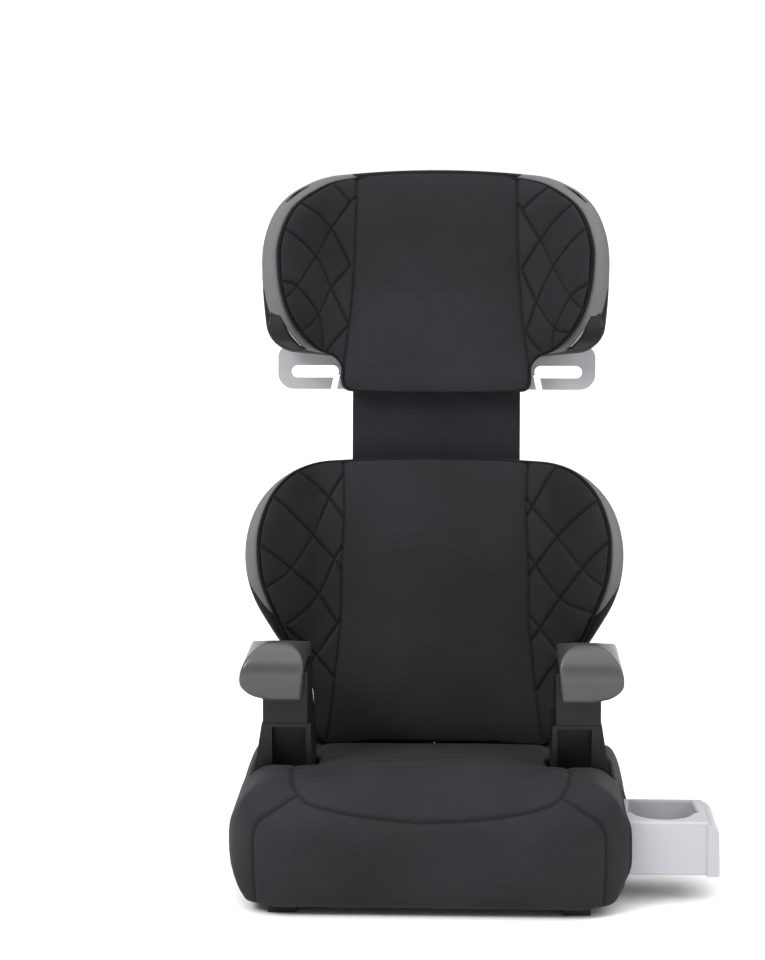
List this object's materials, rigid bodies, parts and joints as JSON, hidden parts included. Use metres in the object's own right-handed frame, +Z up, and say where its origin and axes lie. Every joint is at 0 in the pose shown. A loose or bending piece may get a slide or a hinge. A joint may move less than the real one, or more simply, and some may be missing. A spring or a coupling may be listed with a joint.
{
  "type": "high-back booster seat",
  "caption": "Child's high-back booster seat with padded winged back and head rests, armrests, belt guides and a slide-out cup holder.",
  "frame": {"origin": "on the floor under the middle of the base, on the seat's plane of symmetry, in the plane of the rib ring and feet it rests on", "axes": "+Z up, +Y to the back, +X to the seated child's left, the cup holder's side"},
  "size_m": [0.509, 0.4226, 0.7511],
  "materials": {
    "black_plastic": "fine moulded texture",
    "gloss_black": "satin gloss",
    "pale_plastic": "satin",
    "silver_plastic": "silver grey, satin",
    "black_knit": "smooth charcoal knit",
    "quilted_knit": "charcoal knit with sewn diamond channels",
    "grey_knit": "satin mid grey",
    "foam": "bare foam",
    "steel": "zinc plated"
  },
  "bodies": {
    "base": {"base_shell": "black_plastic", "base_ribs": "black_plastic", "armrest_tower_left": "black_plastic", "armrest_tower_right": "black_plastic", "cup_holder_housing": "black_plastic", "seat_foam": "foam", "seat_pad": "black_knit", "armrest_left": "black_plastic", "armrest_right": "black_plastic", "armrest_cap_left": "gloss_black", "armrest_cap_right": "gloss_black", "armrest_screws": "steel", "hinge_pins": "steel"},
    "cup_holder": {"cup_holder": "pale_plastic"},
    "backrest": {"backrest_shell": "black_plastic", "backrest_foam": "foam", "backrest_pad": "quilted_knit", "adjuster_bracket": "black_plastic", "bracket_screws": "steel", "lever_pin": "steel", "lever_spring": "steel"},
    "headrest": {"headrest_shell": "black_plastic", "headrest_foam": "foam", "headrest_pad": "quilted_knit", "headrest_neck": "black_plastic", "neck_cover": "black_knit", "neck_screws": "steel", "belt_guide_left": "silver_plastic", "belt_guide_right": "silver_plastic", "belt_guide_screws": "steel"},
    "release_lever": {"release_lever": "pale_plastic"}
  },
  "joints": [
    {"name": "cup_holder_slide", "type": "slide", "parent": "base", "child": "cup_holder", "axis": [1, 0, 0], "range_m": [-0.086, 0]},
    {"name": "backrest_hinge", "type": "hinge", "parent": "base", "child": "backrest", "pos_m": [0, 0.168, 0.072], "axis": [-1, 0, 0], "range_deg": [0, 75]},
    {"name": "headrest_slide", "type": "slide", "parent": "backrest", "child": "headrest", "axis": [0, 0.1219, 0.9925], "range_m": [-0.064, 0.016]},
    {"name": "release_lever_hinge", "type": "hinge", "parent": "backrest", "child": "release_lever", "pos_m": [0, 0.1885, 0.3631], "axis": [1, 0, 0], "range_deg": [0, 10], "stiffness_Nm_per_rad": 1.2, "springref_deg": -5.73, "deforming": ["lever_spring"]}
  ]
}
